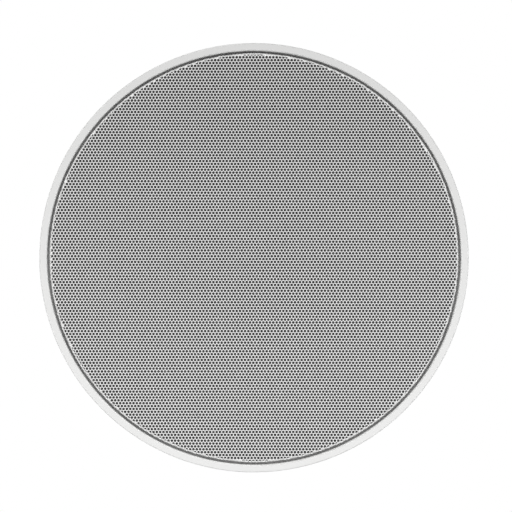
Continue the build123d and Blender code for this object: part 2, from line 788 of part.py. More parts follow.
with BuildPart() as tweeter_face_ring:
    with BuildSketch(Plane.XZ):
        with BuildLine():
            ring_outline = Polyline(
                (dome_land_start + dome_thickness, ring_back),
                (face_ring_radius, ring_back),
                (face_ring_radius, -tweeter_front),
                (face_ring_radius - face_ring_land, -tweeter_front),
            )
            SagittaArc(ring_outline @ 1, ring_outline @ 0, face_ring_flare)
        make_face()
    revolve(axis=Axis.Z)
keep(tweeter_face_ring, "tweeter_face_ring")

# Crossover board, standing in the two slotted posts
with BuildPart() as crossover_board:
    with BuildSketch(board_plane(board_face_radius, 0, board_z)):
        Rectangle(board_width, board_height, align=(Align.CENTER, Align.MIN))
    extrude(amount=-board_thickness)
keep(crossover_board, "crossover_board")

# Inductor: a spool standing out from the board, with its winding
bobbin_z = component_z + bobbin_radius
with BuildPart() as inductor_bobbin:
    with BuildSketch(board_plane(component_face, bobbin_y, bobbin_z)):
        Circle(bobbin_radius)
    extrude(amount=bobbin_flange)
    with BuildSketch(board_plane(component_face + bobbin_length - bobbin_flange, bobbin_y, bobbin_z)):
        Circle(bobbin_radius)
    extrude(amount=bobbin_flange)
    with BuildSketch(board_plane(component_face, bobbin_y, bobbin_z)):
        Circle(bobbin_core_radius)
    extrude(amount=bobbin_length)
    with BuildSketch(board_plane(component_face, bobbin_y, bobbin_z)):
        Circle(bobbin_bore_radius)
    extrude(amount=bobbin_length, mode=Mode.SUBTRACT)
keep(inductor_bobbin, "inductor_bobbin")

with BuildPart() as inductor_winding:
    with BuildSketch(board_plane(component_face + bobbin_flange, bobbin_y, bobbin_z)):
        Circle(bobbin_radius - winding_margin)
        Circle(bobbin_core_radius, mode=Mode.SUBTRACT)
    extrude(amount=bobbin_length - 2 * bobbin_flange)
keep(inductor_winding, "inductor_winding")

with BuildPart() as capacitor:
    with BuildSketch(Plane.XY.offset(component_z)):
        with PolarLocations(component_face + capacitor_diameter / 2, 1, start_angle=board_angle):
            with Locations((0, capacitor_y)):
                Circle(capacitor_diameter / 2)
    extrude(amount=capacitor_length)
    fillet(edges().filter_by(GeomType.CIRCLE), capacitor_edge_radius)
keep(capacitor, "capacitor")

with BuildPart() as resistor:
    with BuildSketch(board_plane(component_face, resistor_y, component_z)):
        Rectangle(resistor_width, resistor_length, align=(Align.CENTER, Align.MIN))
    extrude(amount=resistor_depth)
    chamfer(edges().filter_by(Axis.Z), resistor_chamfer)
keep(resistor, "resistor")

# Spring terminals: a block with two lidded wells for the buttons and two round holes for the wire
with BuildPart() as terminal_block:
    with BuildSketch(terminal_plane(terminal_z)):
        RectangleRounded(
            terminal_depth, terminal_width, terminal_corner, align=(Align.MIN, Align.CENTER)
        )
    extrude(amount=terminal_height)
    with BuildSketch(terminal_plane(terminal_z + terminal_floor)):
        for side in terminal_sides:
            with Locations((button_x, side)):
                Rectangle(cavity_depth, cavity_width)
    extrude(amount=cavity_height, mode=Mode.SUBTRACT)
    with BuildSketch(terminal_plane(terminal_z + terminal_floor + cavity_height)):
        for side in terminal_sides:
            with Locations((button_x, side)):
                Rectangle(button_depth + 2 * button_clearance, button_width + 2 * button_clearance)
    extrude(amount=terminal_lid, mode=Mode.SUBTRACT)
    with BuildSketch(terminal_plane(terminal_z + terminal_floor)):
        for side in terminal_sides:
            with Locations((wire_hole_x, side)):
                Circle(wire_hole_diameter / 2)
    extrude(amount=terminal_height - terminal_floor, mode=Mode.SUBTRACT)
keep(terminal_block, "terminal_block")

# Each button is held under the lid by its flange, and an arched leaf spring pushes it up
button_foot = terminal_z + terminal_floor + spring_room + button_travel
spring_rise = spring_room + button_travel - spring_gap
for side, colour in zip(terminal_sides, ("red", "black")):
    with BuildPart() as button:
        with BuildSketch(terminal_plane(button_foot)):
            with Locations((button_x, side)):
                Rectangle(button_depth + 2 * button_flange, button_width + 2 * button_flange)
        extrude(amount=button_flange_thickness)
        with BuildSketch(terminal_plane(button_foot + button_flange_thickness)):
            with Locations((button_x, side)):
                Rectangle(button_depth, button_width)
        extrude(amount=button_rest_gap + terminal_lid + button_rise)
        fillet(edges().group_by(Axis.Z)[-1], button_edge_radius)
    keep(button, f"button_{colour}")

    well_floor = terminal_plane(terminal_z + terminal_floor)
    spring_origin = well_floor.origin + well_floor.x_dir * button_x + well_floor.y_dir * side
    spring_plane = Plane(origin=spring_origin, x_dir=well_floor.x_dir, z_dir=-well_floor.y_dir)
    with BuildPart() as contact_spring:
        with BuildSketch(spring_plane):
            with BuildLine():
                arch = ThreePointArc((-button_depth / 2, 0), (0, spring_rise), (button_depth / 2, 0))
                Line(arch @ 1, (button_depth / 2 - spring_strip, 0))
                under = ThreePointArc(
                    (button_depth / 2 - spring_strip, 0),
                    (0, spring_rise - spring_strip),
                    (spring_strip - button_depth / 2, 0),
                )
                Line(under @ 1, arch @ 0)
            make_face()
        extrude(amount=spring_strip_width / 2, both=True)
    keep(contact_spring, f"contact_spring_{colour}")
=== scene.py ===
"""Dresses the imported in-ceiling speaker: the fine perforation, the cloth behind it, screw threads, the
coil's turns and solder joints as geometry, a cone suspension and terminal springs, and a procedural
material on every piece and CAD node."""
import json
import math

import bpy
import numpy as np
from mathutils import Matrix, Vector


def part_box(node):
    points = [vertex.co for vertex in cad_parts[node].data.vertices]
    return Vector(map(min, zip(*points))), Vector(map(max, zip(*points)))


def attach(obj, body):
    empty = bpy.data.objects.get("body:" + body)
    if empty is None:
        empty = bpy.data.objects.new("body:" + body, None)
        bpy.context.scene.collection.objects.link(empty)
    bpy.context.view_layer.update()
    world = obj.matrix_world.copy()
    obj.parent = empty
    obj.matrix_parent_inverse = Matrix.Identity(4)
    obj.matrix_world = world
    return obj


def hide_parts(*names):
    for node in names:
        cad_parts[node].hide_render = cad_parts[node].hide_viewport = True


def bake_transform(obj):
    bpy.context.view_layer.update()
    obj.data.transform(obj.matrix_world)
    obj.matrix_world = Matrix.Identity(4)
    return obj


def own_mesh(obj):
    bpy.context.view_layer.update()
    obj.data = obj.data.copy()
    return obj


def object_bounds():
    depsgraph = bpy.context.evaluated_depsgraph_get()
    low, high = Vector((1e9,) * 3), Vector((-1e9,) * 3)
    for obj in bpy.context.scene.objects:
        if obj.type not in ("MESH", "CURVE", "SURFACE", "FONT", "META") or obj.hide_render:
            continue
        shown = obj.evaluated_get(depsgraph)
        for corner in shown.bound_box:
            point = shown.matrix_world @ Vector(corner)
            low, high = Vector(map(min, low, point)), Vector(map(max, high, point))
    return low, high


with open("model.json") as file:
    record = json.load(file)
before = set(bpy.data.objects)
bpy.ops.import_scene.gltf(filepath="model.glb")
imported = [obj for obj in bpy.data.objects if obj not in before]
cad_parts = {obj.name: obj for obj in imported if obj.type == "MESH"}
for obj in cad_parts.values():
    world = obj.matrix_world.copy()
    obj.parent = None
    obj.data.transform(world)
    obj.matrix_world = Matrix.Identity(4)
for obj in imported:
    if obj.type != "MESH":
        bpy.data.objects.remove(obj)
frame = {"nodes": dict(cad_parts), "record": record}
cad_box = [list(corner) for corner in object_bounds()]

MM = 0.001

# Grille sheet, as in the part's source, with the hole lattice measured in the photograph
GRILLE_RADIUS = 114.4 * MM
GRILLE_FACE = -6.6 * MM
GRILLE_EDGE = -2.6 * MM
SHEET = 0.8 * MM
CORNER = 1.2 * MM
PITCH = 1.8605 * MM
HOLE_RADIUS = 0.83 * MM
HOLE_SIDES = 8
HOLE_PHASE = (-0.346 * MM, 0.761 * MM)
FIELD_RADIUS = 114.6 * MM
BEND_START = GRILLE_RADIUS - CORNER
BEND_MIDDLE = CORNER - SHEET / 2
BEND_END = BEND_START + BEND_MIDDLE * math.pi / 2
BLANK_RADIUS = BEND_END + GRILLE_EDGE - GRILLE_FACE - CORNER
SECTORS = 4
MERGE_STEP = 0.001 * MM
MERGE_SHIFT = 0.125
BAKE_MAP_WIDTH = 2.1 * GRILLE_RADIUS

# Cloth disc: its rings, how far its inner side keeps inside the CAD solid, and the swell of that side
SCRIM_RINGS = 40
SCRIM_AROUND = 160
SCRIM_FIRST_RING = 0.5 * MM
SCRIM_INSET = 0.02 * MM
SCRIM_SWELL = 0.01 * MM
SCRIM_WAVE = 4 * MM
SCRIM_FREE_SHARE = 0.97

# Screw threads: points a turn, the ridge's half width as a share of the lead, how deep its foot lies as
# a share of its height, and the size at which it starts and ends
THREAD_STEPS = 24
RIDGE_HALF_SHARE = 0.42
RIDGE_FOOT_SHARE = 0.1
RIDGE_LEAST = 0.05
CLAMP_SHANK_RADIUS = 2.0 * MM
CLAMP_THREAD_LOW = 11.5 * MM
CLAMP_THREAD_END = 0.7 * MM
CLAMP_LEAD = 1.4 * MM
CLAMP_RIDGE = 0.2 * MM
POST_RADIUS = 4.0 * MM
POST_THREAD_LOW = 78 * MM
POST_THREAD_END = 0.5 * MM
POST_LEAD = 1.25 * MM
POST_RIDGE = 0.04 * MM

# Crossover: the inductor's turns, and the solder where pins come through the board, by X and Z, with the
# angle up to which a joint's side follows a cosine
WIRE_TURNS = 13
WIRE_STEPS = 8
WIRE_AROUND = 72
SPOOL_CORE_RADIUS = 5.0 * MM
SOLDER_PLACES = np.array(
    [(-21.5, 20.5), (-21.5, 40.0), (0.5, 20.5), (0.5, 40.0), (8.5, 20.0), (8.5, 42.0), (19.0, 20.0),
     (19.0, 39.0), (-11.0, 47.5), (-3.0, 47.5), (3.0, 47.5), (11.0, 47.5)]
) * MM
SOLDER_RINGS = 6
SOLDER_AROUND = 16
SOLDER_RADIUS = 1.5 * MM
SOLDER_HEIGHT = 0.9 * MM
SOLDER_TURN = 1.2
PIN_RADII = (0.35 * MM, 0.3 * MM)
PIN_HEIGHTS = (1.1 * MM, 1.5 * MM)

# Terminal leaf springs and the cone's suspension, as in the part's source
ARC_POINTS = 25
LEAF_HALF = 3.0 * MM
LEAF_STRIP = 0.4 * MM
SECTOR_STATIONS = 7
SURROUND_SHEET = 0.5 * MM
SURROUND_SECTORS = 24
SPIDER_SHEET = 0.4 * MM
SPIDER_LAND = 5.0 * MM
SPIDER_GLUE = 0.05 * MM
SPIDER_WAVES = 5
SPIDER_WAVE_POINTS = 12
SPIDER_SECTORS = 12

# Floor: its opening lies just inside the bezel's edge, at the height where that edge's rounding starts, and
# it fades to white between two distances, in metres
FLOOR_OPENING = 0.11995
FLOOR_MIDDLE = 0.5
FLOOR_EDGE = 4.0
FLOOR_AROUND = 256
BEZEL_ROUNDING = 0.0006
FLOOR_SHADES = (0.70, 0.73)
WHITE_FROM = 0.15
WHITE_AT = 1.1
SKY_STRENGTH = 0.25

# Camera a little off the axis, where the grille's edge lies in the picture as it does in the photograph
CAMERA_PLACE = (1.13 * MM, -0.95 * MM, -1079.7 * MM)


def mesh_piece(name, points, faces, body, smooth=40.0):
    """A closed mesh object from an array of points and lists of corner numbers. The sum of the signed
    volumes of its triangles shows which way its faces point, and they are turned outwards. With no body
    it rides on none."""
    volume = 0.0
    for part in faces:
        first = points[part[:, 0]]
        for corner in range(1, part.shape[1] - 1):
            across = np.cross(points[part[:, corner]], points[part[:, corner + 1]])
            volume += np.einsum("ij,ij->", first, across)
    turned = [part[:, ::-1] if volume < 0 else part for part in faces]
    mesh = bpy.data.meshes.new(name)
    mesh.from_pydata(points.tolist(), [], [face for part in turned for face in part.tolist()])
    mesh.shade_smooth()
    mesh.set_sharp_from_angle(angle=math.radians(smooth))
    piece = bpy.data.objects.new(name, mesh)
    bpy.context.scene.collection.objects.link(piece)
    if body:
        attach(piece, body)
    return piece


def skin(rings, joined):
    """Quads between neighbouring rings of points, each ring closed. The last ring joins the first if
    joined, and otherwise both end rings are capped."""
    count, around = rings.shape[:2]
    row = np.arange(count if joined else count - 1)[:, None]
    column = np.arange(around)[None, :]
    after = (row + 1) % count * around
    beside = (column + 1) % around
    quads = np.stack(
        [row * around + column, row * around + beside, after + beside, after + column], axis=-1
    ).reshape(-1, 4)
    faces = [quads]
    if not joined:
        last = (count - 1) * around
        faces.append(np.arange(around)[None, ::-1])
        faces.append(last + np.arange(around)[None, :])
    return rings.reshape(-1, 3), faces


def turned_rings(radius, height, around):
    """Rings of points about Z: point k of ring i is at radius[i], height[i] and angle 2 pi k / around."""
    angle = np.arange(around) * (2 * np.pi / around)
    radius = np.asarray(radius)[:, None]
    height = np.asarray(height)[:, None] + 0 * angle
    return np.stack([radius * np.cos(angle), radius * np.sin(angle), height], axis=-1)


def formed(flat_x, flat_y, depth):
    """Where a point of the flat blank goes when its edge is turned back. Up to the corner it keeps its
    radius; along the corner its distance past that, over the middle radius of the bend, is the angle
    turned; past the bend it runs straight up the rim. Depth is measured into the sheet."""
    flat = np.hypot(flat_x, flat_y)
    turn = np.clip((flat - BEND_START) / BEND_MIDDLE, 0, np.pi / 2)
    beyond = np.maximum(flat - BEND_END, 0)
    radius = np.minimum(flat, BEND_START) + (CORNER - depth) * np.sin(turn)
    height = GRILLE_FACE + CORNER - (CORNER - depth) * np.cos(turn) + beyond
    scale = radius / np.maximum(flat, 1e-9)
    return np.stack([flat_x * scale, flat_y * scale, height], axis=-1)


def cell_pattern():
    """Triangles of one six-sided cell with a round hole: corners 0 to 5 are the cell's, the rest the
    hole's. Going round once, the next triangle always takes the corner that comes first."""
    outer = np.radians(30 + 60 * np.arange(7))
    inner = outer[0] + 2 * np.pi * np.arange(HOLE_SIDES + 1) / HOLE_SIDES
    triangles = []
    i = j = 0
    while i < 6 or j < HOLE_SIDES:
        a, b = i % 6, 6 + j % HOLE_SIDES
        if j == HOLE_SIDES or (i < 6 and outer[i + 1] + outer[i] <= inner[j + 1] + inner[j]):
            triangles.append((a, (i + 1) % 6, b))
            i += 1
        else:
            triangles.append((a, 6 + (j + 1) % HOLE_SIDES, b))
            j += 1
    return np.array(triangles), outer[:6], inner[:HOLE_SIDES]


def perforated_sector(number):
    """One sector of the perforated sheet. The blank is a lattice of six-sided cells, staggered by half a
    pitch from row to row; a cell whose hole lies inside the field has the hole, the others are plain,
    and corners past the blank's edge are drawn in to it. Front and back are the same plan, bent round
    the corner, and each edge that only one triangle uses gets a wall."""
    pattern, corner_angle, hole_angle = cell_pattern()
    row_step = PITCH * math.sqrt(3) / 2
    reach = int(BLANK_RADIUS / row_step) + 3
    row, column = np.meshgrid(np.arange(-reach, reach + 1), np.arange(-reach, reach + 1), indexing="ij")
    centre_x = ((column + 0.5 * (row % 2)) * PITCH + HOLE_PHASE[0]).ravel()
    centre_y = (row * row_step + HOLE_PHASE[1]).ravel()
    sector = np.floor((np.arctan2(centre_y, centre_x) / (2 * np.pi) % 1.0) * SECTORS)
    corner_x = centre_x[:, None] + PITCH / math.sqrt(3) * np.cos(corner_angle)
    corner_y = centre_y[:, None] + PITCH / math.sqrt(3) * np.sin(corner_angle)
    corner_r = np.hypot(corner_x, corner_y)
    used = (corner_r.min(axis=1) < BLANK_RADIUS) & (sector == number)
    drawn = np.minimum(1.0, BLANK_RADIUS / corner_r)
    corner_x, corner_y = corner_x * drawn, corner_y * drawn
    holed = used & (np.hypot(centre_x, centre_y) + HOLE_RADIUS < FIELD_RADIUS)
    plain = used & ~holed

    hole_x = centre_x[holed, None] + HOLE_RADIUS * np.cos(hole_angle)
    hole_y = centre_y[holed, None] + HOLE_RADIUS * np.sin(hole_angle)
    holed_x = np.concatenate([corner_x[holed], hole_x], axis=1)
    holed_y = np.concatenate([corner_y[holed], hole_y], axis=1)
    size = 6 + HOLE_SIDES
    holed_faces = (np.arange(len(holed_x))[:, None, None] * size + pattern[None]).reshape(-1, 3)
    # A plain cell is a fan from its innermost corner
    turn = (corner_r[plain].argmin(axis=1)[:, None] + np.arange(6)) % 6
    plain_x = np.take_along_axis(corner_x[plain], turn, axis=1)
    plain_y = np.take_along_axis(corner_y[plain], turn, axis=1)
    fan = np.array([(0, 1, 2), (0, 2, 3), (0, 3, 4), (0, 4, 5)])
    plain_faces = (np.arange(len(plain_x))[:, None, None] * 6 + fan[None]).reshape(-1, 3)

    flat = np.stack(
        [
            np.concatenate([holed_x.ravel(), plain_x.ravel()]),
            np.concatenate([holed_y.ravel(), plain_y.ravel()]),
        ],
        axis=-1,
    )
    faces = np.concatenate([holed_faces, plain_faces + holed_x.size])
    # Corners that neighbouring cells share become one point. The shift keeps half pitches from being
    # rounded both ways
    steps = np.round(flat / MERGE_STEP + MERGE_SHIFT)
    _, first, same = np.unique(steps, axis=0, return_index=True, return_inverse=True)
    flat, faces = flat[first], same.ravel()[faces]
    keep = (faces[:, 0] != faces[:, 1]) & (faces[:, 1] != faces[:, 2]) & (faces[:, 2] != faces[:, 0])
    faces = faces[keep]
    count = len(flat)
    front = formed(flat[:, 0], flat[:, 1], 0.0)
    back = formed(flat[:, 0], flat[:, 1], SHEET)
    edges = np.concatenate([faces[:, [0, 1]], faces[:, [1, 2]], faces[:, [2, 0]]])
    lone = ~np.isin(edges[:, 0] * count + edges[:, 1], edges[:, 1] * count + edges[:, 0])
    start, end = edges[lone, 0], edges[lone, 1]
    walls = np.stack([start, end, end + count, start + count], axis=-1)
    points = np.concatenate([front, back])
    sides = [faces[:, ::-1], faces + count, walls]
    piece = mesh_piece(f"grille_sheet_{number + 1}", points, sides, "frame", smooth=50.0)
    # A plan map for the exporter: front and back of the sheet share it
    layer = piece.data.uv_layers.new(name="OFBake")
    corner = np.empty(len(piece.data.loops), np.int32)
    piece.data.loops.foreach_get("vertex_index", corner)
    plan = np.concatenate([flat, flat])[corner] / BAKE_MAP_WIDTH + 0.5
    layer.data.foreach_set("uv", plan.astype(np.float32).ravel())
    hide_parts("grille")
    return piece


def scrim():
    """The cloth disc on the back of the sheet: rings from the middle out, over the cut edge and back.
    Its inner side swells by a sine of the radius over the wave length, as stretched cloth does."""
    low, high = (corner[2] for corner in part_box("grille_scrim"))
    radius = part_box("grille_scrim")[1][0]
    out = np.linspace(SCRIM_FIRST_RING, radius, SCRIM_RINGS)
    swell = SCRIM_SWELL * np.sin(out / SCRIM_WAVE) * (out < SCRIM_FREE_SHARE * radius)
    rings = turned_rings(
        np.concatenate([out, out[::-1]]),
        np.concatenate([np.full(SCRIM_RINGS, low), (high - SCRIM_INSET + swell)[::-1]]),
        SCRIM_AROUND,
    )
    points, faces = skin(rings, False)
    piece = mesh_piece("scrim_cloth_disc", points, faces, "frame")
    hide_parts("grille_scrim")
    return piece


def thread(name, axis_x, axis_y, radius, low, high, lead, depth, body):
    """A screw thread: a ridge of four-sided section, half sunk in the cylinder it is wound on. At turn t it
    is at angle 2 pi t and height low + lead t; it fades in and out over the first and last turn."""
    turns = (high - low) / lead
    t = np.linspace(0, turns, int(turns * THREAD_STEPS) + 1)
    angle = 2 * np.pi * t
    fade = np.clip(np.minimum(t, turns - t), RIDGE_LEAST, 1.0)
    half = RIDGE_HALF_SHARE * lead
    section = depth * np.array([-RIDGE_FOOT_SHARE, 1.0, -RIDGE_FOOT_SHARE, -1.0])
    section_r = radius + section * fade[:, None]
    section_z = np.array([-half, 0.0, half, 0.0]) * fade[:, None]
    height = low + lead * t
    rings = np.stack(
        [
            axis_x + section_r * np.cos(angle)[:, None],
            axis_y + section_r * np.sin(angle)[:, None],
            height[:, None] + section_z,
        ],
        axis=-1,
    )
    points, faces = skin(rings, False)
    return mesh_piece(name, points, faces, body, smooth=20.0)


def winding():
    """The inductor's turns: round ridges side by side along the spool's axis, each half a circle of the
    wire's radius, closed by the bore on the spool's core."""
    low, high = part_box("inductor_winding")
    axis_x, axis_z = (low[0] + high[0]) / 2, (low[2] + high[2]) / 2
    outer = (high[0] - low[0]) / 2
    wire = (high[1] - low[1]) / WIRE_TURNS / 2
    along = np.linspace(0, WIRE_TURNS, WIRE_TURNS * WIRE_STEPS + 1)
    bulge = np.sqrt(np.maximum(1 - (2 * (along % 1.0) - 1) ** 2, 0.0))
    radius = np.concatenate([outer - wire + wire * bulge, [SPOOL_CORE_RADIUS, SPOOL_CORE_RADIUS]])
    height = np.concatenate([low[1] + 2 * wire * along, [high[1], low[1]]])
    rings = turned_rings(radius, height, WIRE_AROUND)
    points, faces = skin(rings, True)
    points = np.stack([axis_x + points[:, 0], points[:, 2], axis_z + points[:, 1]], axis=-1)
    piece = mesh_piece("inductor_turns", points, faces, "frame", smooth=60.0)
    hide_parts("inductor_winding")
    return piece


def solder_joints():
    """Solder on the board's inner side where the components' pins come through: each joint is a cone
    whose radius falls as a cosine of its height, with the cut pin standing out of it."""
    board_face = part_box("crossover_board")[1][1]
    share = np.linspace(0, 1, SOLDER_RINGS)
    radius = np.concatenate([SOLDER_RADIUS * np.cos(share * SOLDER_TURN), PIN_RADII])
    height = np.concatenate([SOLDER_HEIGHT * share, PIN_HEIGHTS])
    rings = turned_rings(radius, height, SOLDER_AROUND)
    points, faces = skin(rings, False)
    joint = np.stack([points[:, 0], points[:, 2], points[:, 1]], axis=-1)
    count = len(SOLDER_PLACES)
    place = np.stack([SOLDER_PLACES[:, 0], np.full(count, board_face), SOLDER_PLACES[:, 1]], axis=-1)
    every = (place[:, None] + joint[None]).reshape(-1, 3)
    step = np.arange(count)[:, None, None] * len(points)
    copies = [(part[None] + step).reshape(-1, part.shape[1]) for part in faces]
    return mesh_piece("solder_joints", every, copies, "frame")


def leaf_spring(colour):
    """The arched leaf under a terminal button: its outer face is the arc through both feet and the crown,
    its inner face the same kind of arc, smaller by the strip's thickness."""
    low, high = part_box(f"contact_spring_{colour}")
    rise = high[2] - low[2]
    arcs = []
    for half, crown in ((LEAF_HALF, rise), (LEAF_HALF - LEAF_STRIP, rise - LEAF_STRIP)):
        radius = (half**2 + crown**2) / (2 * crown)
        foot = math.atan2(radius - crown, half)
        angle = np.linspace(foot, math.pi - foot, ARC_POINTS)
        arcs.append(np.stack([radius * np.cos(angle), crown - radius + radius * np.sin(angle)]))
    outer, inner = arcs
    along, height = np.concatenate([outer, inner[:, ::-1]], axis=1)
    along, height = along + (low[1] + high[1]) / 2, height + low[2]
    rings = np.stack([np.stack([0 * along + side, along, height], axis=-1) for side in (low[0], high[0])])
    points, faces = skin(rings, False)
    piece = mesh_piece(f"contact_leaf_{colour}", points, faces, "frame", smooth=30.0)
    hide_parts(f"contact_spring_{colour}")
    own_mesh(piece)
    return piece


def surround_outline():
    """The surround's outline by radius and height: the back of its flat lands and half roll from the outer
    edge inwards, then their front outwards again."""
    low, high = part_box("surround")
    roll = high[2] - low[2]
    cone_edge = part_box("cone")[1][0]
    centre, inner = cone_edge + roll, cone_edge - roll
    foot = math.asin(SURROUND_SHEET / roll)
    turn = np.linspace(0, np.pi, ARC_POINTS)
    tilt = np.linspace(foot, np.pi - foot, ARC_POINTS)
    back = roll - SURROUND_SHEET
    radius = np.concatenate(
        [[high[0]], centre + back * np.cos(turn), [inner, inner], centre - roll * np.cos(tilt), [high[0]]]
    )
    height = np.concatenate(
        [[0.0], -back * np.sin(turn), [0.0, -SURROUND_SHEET], -roll * np.sin(tilt), [-SURROUND_SHEET]]
    )
    return radius, high[2] + height, centre + roll, centre - back


def spider_outline():
    """The spider's outline by radius and height: between flat lands the middle of the cloth falls and rises
    as a cosine of the radius, and half the cloth's thickness is laid off square to it on each side."""
    low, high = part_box("spider")
    outer = high[0]
    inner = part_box("voice_coil_former")[1][0] + SPIDER_GLUE
    wave_out, wave_in = outer - SPIDER_LAND, inner + SPIDER_LAND
    depth = high[2] - low[2] - SPIDER_SHEET
    turns = 2 * np.pi * SPIDER_WAVES / (wave_out - wave_in)
    waves = np.linspace(wave_out, wave_in, SPIDER_WAVES * SPIDER_WAVE_POINTS + 1)
    radius = np.concatenate([[outer], waves, [inner]])
    phase = turns * np.clip(wave_out - radius, 0, wave_out - wave_in)
    middle = high[2] - SPIDER_SHEET / 2 - depth * (1 - np.cos(phase)) / 2
    slope = depth * turns * np.sin(phase) / 2
    across = SPIDER_SHEET / 2 / np.hypot(1, slope)
    back = (radius - slope * across, middle + across)
    front = (radius + slope * across, middle - across)
    return (*(np.concatenate([b, f[::-1]]) for b, f in zip(back, front)), wave_out, wave_in)


def soft_ring(name, node, slot, outline, sectors):
    """A ring turned about Z from an outline, in sectors, each a piece of its own that rides on no body."""
    radius, height, outer, inner = outline
    half = math.pi / sectors
    for number in range(sectors):
        middle = 2 * half * number
        angle = middle + np.linspace(-half, half, SECTOR_STATIONS)[:, None]
        rings = np.stack([radius * np.cos(angle), radius * np.sin(angle), height + 0 * angle], axis=-1)
        points, faces = skin(rings, False)
        piece = mesh_piece(f"{name}_{number + 1}", points, faces, None)
        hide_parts(node)
        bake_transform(piece)
        dress(piece, slot)


def add(tree, kind, inputs=None, **settings):
    """Adds one shader node; an input given as a socket is linked, any other value is set."""
    node = tree.nodes.new("ShaderNode" + kind)
    for key, value in settings.items():
        setattr(node, key, value)
    for key, value in (inputs or {}).items():
        if isinstance(value, bpy.types.NodeSocket):
            tree.links.new(value, node.inputs[key])
        else:
            node.inputs[key].default_value = value
    return node


def maths(tree, operation, *values):
    """The result of one Math node."""
    return add(tree, "Math", dict(enumerate(values)), operation=operation).outputs[0]


def noise(tree, vector, scale, detail):
    """A noise value from 0 to 1 at the given points and scale."""
    return add(tree, "TexNoise", {"Vector": vector, "Scale": scale, "Detail": detail}).outputs["Fac"]


def look_group(name, extra):
    """An empty shader group with the sockets that all looks share, and its extra inputs."""
    tree = bpy.data.node_groups.new(name, "ShaderNodeTree")
    colour = tree.interface.new_socket("Colour", in_out="INPUT", socket_type="NodeSocketColor")
    colour.default_value = (0.5, 0.5, 0.5, 1.0)
    for socket in ("Shade", "Roughness", "Spread", *extra):
        tree.interface.new_socket(socket, in_out="INPUT", socket_type="NodeSocketFloat")
    tree.interface.new_socket("Colour", in_out="OUTPUT", socket_type="NodeSocketColor")
    tree.interface.new_socket("Roughness", in_out="OUTPUT", socket_type="NodeSocketFloat")
    tree.interface.new_socket("Height", in_out="OUTPUT", socket_type="NodeSocketFloat")
    given = tree.nodes.new("NodeGroupInput").outputs
    result = tree.nodes.new("NodeGroupOutput").inputs
    place = tree.nodes.new("ShaderNodeTexCoord").outputs["Object"]
    return tree, given, result, place


def finish_group(tree, given, result, tone, fine):
    """Colour times 1 + Shade x tone, Roughness + Spread x (fine - 0.5), and fine as the bump's height."""
    bright = maths(tree, "MULTIPLY_ADD", given["Shade"], tone, 1.0)
    colour = add(tree, "VectorMath", {0: given["Colour"], "Scale": bright}, operation="SCALE").outputs[0]
    tree.links.new(colour, result["Colour"])
    level = maths(tree, "SUBTRACT", fine, 0.5)
    rough = maths(tree, "MULTIPLY_ADD", given["Spread"], level, given["Roughness"])
    tree.links.new(rough, result["Roughness"])
    tree.links.new(fine, result["Height"])
    return tree


def moulded_group():
    """Moulded or painted surface: broad patches and a fine grain. The tone is 2 x patches + 0.6 x grain
    - 1.3."""
    tree, given, result, place = look_group("moulded_look", ("Patch", "Grain"))
    patches = noise(tree, place, given["Patch"], 3.0)
    grain = noise(tree, place, given["Grain"], 2.0)
    broad = maths(tree, "MULTIPLY", patches, 2.0)
    tone = maths(tree, "SUBTRACT", maths(tree, "MULTIPLY_ADD", grain, 0.6, broad), 1.3)
    return finish_group(tree, given, result, tone, grain)


def turned_group():
    """Turned or ground metal: fine grooves about the speaker's axis, by radius and height, and broad
    patches. The tone is 1.4 x grooves + patches - 1.2."""
    tree, given, result, place = look_group("turned_look", ("Rings",))
    part = add(tree, "SeparateXYZ", {0: place}).outputs
    level = add(tree, "CombineXYZ", {0: part[0], 1: part[1]}).outputs[0]
    radius = add(tree, "VectorMath", {0: level}, operation="LENGTH").outputs["Value"]
    grooves = noise(tree, add(tree, "CombineXYZ", {0: radius, 1: part[2]}).outputs[0], given["Rings"], 3.0)
    patches = noise(tree, place, 60.0, 3.0)
    tone = maths(tree, "SUBTRACT", maths(tree, "ADD", maths(tree, "MULTIPLY", grooves, 1.4), patches), 1.2)
    return finish_group(tree, given, result, tone, grooves)


def wound_group():
    """Wire wound side by side: a rounded turn at each pitch along Z, each with a value of its own. The
    tone is 1.2 x crown + 0.5 x own - 1: the colour is darker where neighbouring turns meet, as painted
    shade, and varies at random from turn to turn."""
    tree, given, result, place = look_group("wound_look", ("Pitch",))
    part = add(tree, "SeparateXYZ", {0: place}).outputs
    count = maths(tree, "DIVIDE", part[2], given["Pitch"])
    # Painted shade: the crown is 0 where neighbouring turns meet, so the colour darkens there
    crown = maths(tree, "ABSOLUTE", maths(tree, "SINE", maths(tree, "MULTIPLY", count, math.pi)))
    whole = maths(tree, "FLOOR", count)
    own = add(tree, "TexWhiteNoise", {"W": whole}, noise_dimensions="1D").outputs["Value"]
    uneven = maths(tree, "MULTIPLY", own, 0.5)
    tone = maths(tree, "SUBTRACT", maths(tree, "MULTIPLY_ADD", crown, 1.2, uneven), 1.0)
    return finish_group(tree, given, result, tone, crown)


def woven_group():
    """Plain weave in X and Y: the product of two sines at the thread pitch, with loose fibres. The tone is
    weave + fibre - 1."""
    tree, given, result, place = look_group("woven_look", ("Pitch",))
    part = add(tree, "SeparateXYZ", {0: place}).outputs
    turn = maths(tree, "DIVIDE", 2 * math.pi, given["Pitch"])
    warp = maths(tree, "SINE", maths(tree, "MULTIPLY", part[0], turn))
    weft = maths(tree, "SINE", maths(tree, "MULTIPLY", part[1], turn))
    weave = maths(tree, "MULTIPLY_ADD", maths(tree, "MULTIPLY", warp, weft), 0.5, 0.5)
    fibre = noise(tree, place, 900.0, 3.0)
    tone = maths(tree, "SUBTRACT", maths(tree, "ADD", weave, fibre), 1.0)
    return finish_group(tree, given, result, tone, weave)


